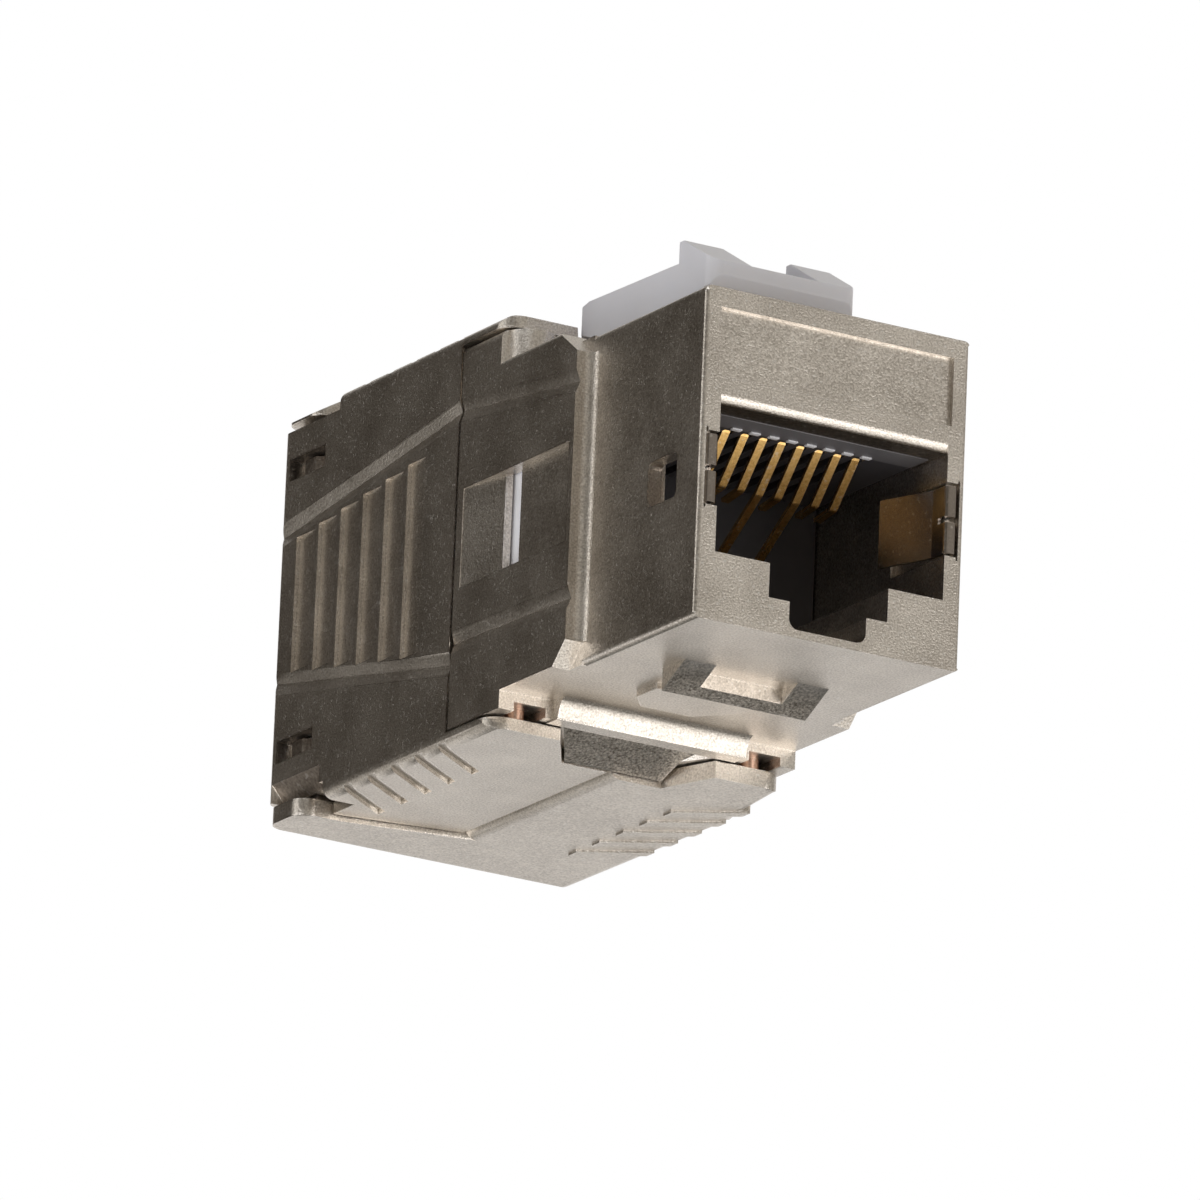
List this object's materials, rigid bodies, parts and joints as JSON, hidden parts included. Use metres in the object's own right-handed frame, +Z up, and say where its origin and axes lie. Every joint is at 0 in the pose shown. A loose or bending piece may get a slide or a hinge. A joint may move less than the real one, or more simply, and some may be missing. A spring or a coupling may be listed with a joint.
{
  "type": "keystone jack",
  "caption": "Shielded keystone jack: die-cast housing with a modular plug port, a white snap latch on top, and hinged wings that close over the wire cap at the rear.",
  "frame": {"origin": "centre of the front face of the front block, where the plug enters", "axes": "+X to the right seen from the front, +Y from the plug port to the cable end, +Z up to the snap latch"},
  "size_m": [0.0172, 0.0379, 0.0227],
  "materials": {
    "die_cast": "satin nickel plating on die-cast zinc",
    "white_plastic": "fine matt moulded surface",
    "dark_plastic": "dark moulded plastic",
    "board": "lacquered circuit board",
    "contact_gold": "gold plating",
    "blade_bronze": "tinned bronze",
    "pin_metal": "copper-tinted turned pin",
    "clip_steel": "bright spring sheet"
  },
  "bodies": {
    "housing_body": {"housing": "die_cast", "idc_block": "white_plastic", "contact_carrier": "dark_plastic", "circuit_board": "board", "ground_clip_left": "clip_steel", "ground_clip_right": "clip_steel", "hinge_pin_left_top": "pin_metal", "hinge_pin_left_bottom": "pin_metal", "hinge_pin_right_top": "pin_metal", "hinge_pin_right_bottom": "pin_metal", "contact_1": "contact_gold", "idc_blade_1": "blade_bronze", "contact_2": "contact_gold", "idc_blade_2": "blade_bronze", "contact_3": "contact_gold", "idc_blade_3": "blade_bronze", "contact_4": "contact_gold", "idc_blade_4": "blade_bronze", "contact_5": "contact_gold", "idc_blade_5": "blade_bronze", "contact_6": "contact_gold", "idc_blade_6": "blade_bronze", "contact_7": "contact_gold", "idc_blade_7": "blade_bronze", "contact_8": "contact_gold", "idc_blade_8": "blade_bronze"},
    "left_wing_body": {"left_wing": "die_cast"},
    "right_wing_body": {"right_wing": "die_cast"},
    "latch_body": {"keystone_latch": "white_plastic"},
    "cap_body": {"wire_cap": "white_plastic"}
  },
  "joints": [
    {"name": "right_wing_hinge", "type": "hinge", "parent": "housing_body", "child": "right_wing_body", "pos_m": [0.0065, 0.0175, 0], "axis": [0, 0, -1], "range_deg": [0, 90]},
    {"name": "left_wing_hinge", "type": "hinge", "parent": "housing_body", "child": "left_wing_body", "pos_m": [-0.0065, 0.0175, 0], "axis": [0, 0, 1], "range_deg": [0, 90]},
    {"name": "latch_press", "type": "hinge", "parent": "housing_body", "child": "latch_body", "pos_m": [0, 0.0175, 0.01005], "axis": [1, 0, 0], "range_deg": [0, 7], "stiffness_Nm_per_rad": 0.05},
    {"name": "wire_cap_slide", "type": "slide", "parent": "housing_body", "child": "cap_body", "axis": [0, 1, 0], "range_m": [0, 0.003]}
  ],
  "couplings": [
    {"joint": "left_wing_hinge", "follows": "right_wing_hinge", "ratio": 1}
  ]
}
